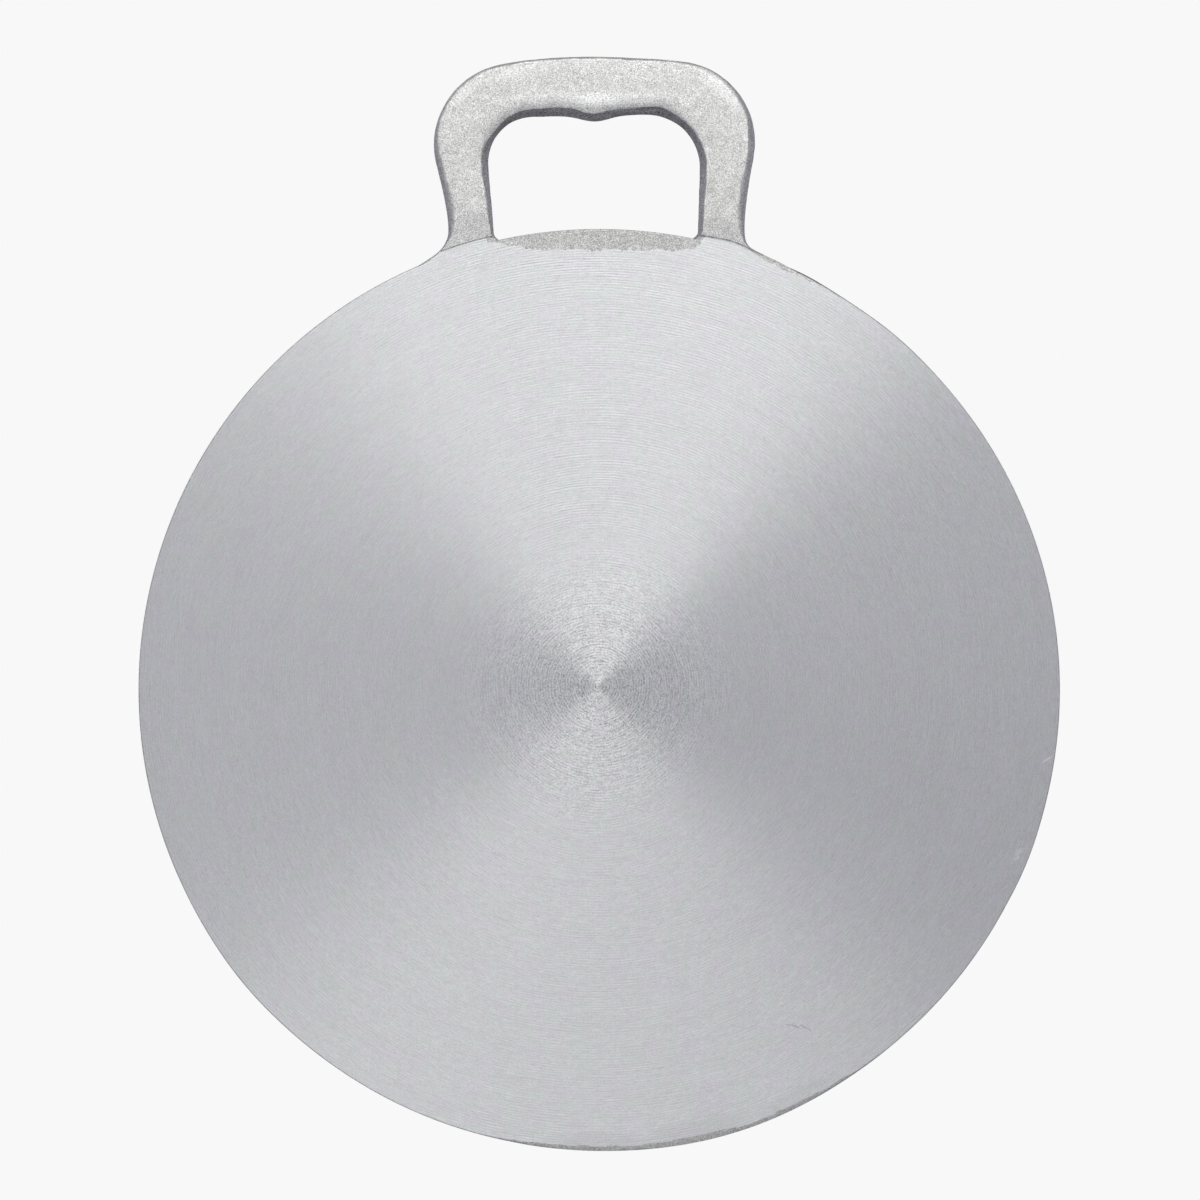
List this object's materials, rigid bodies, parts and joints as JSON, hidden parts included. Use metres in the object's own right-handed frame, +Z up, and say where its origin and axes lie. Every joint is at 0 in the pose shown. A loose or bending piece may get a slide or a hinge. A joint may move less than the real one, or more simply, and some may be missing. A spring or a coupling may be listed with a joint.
{
  "type": "arabic tawa",
  "caption": "Flat round griddle plate of cast aluminium with a turned cooking face and a loop handle cast in one with the rim.",
  "frame": {"origin": "centre of the plate, on its flat underside", "axes": "+Z up out of the cooking face, +Y from the plate's centre towards the handle, +X to the right when the handle points away from the viewer"},
  "size_m": [0.35, 0.4161, 0.0106],
  "materials": {
    "turned_aluminium": "face-turned on a lathe, with fine rings about the centre; the rim and the underside are as cast",
    "cast_aluminium": "as cast in sand, matt and finely grained"
  },
  "bodies": {
    "root": {"plate": "turned_aluminium", "handle": "cast_aluminium"}
  },
  "joints": []
}
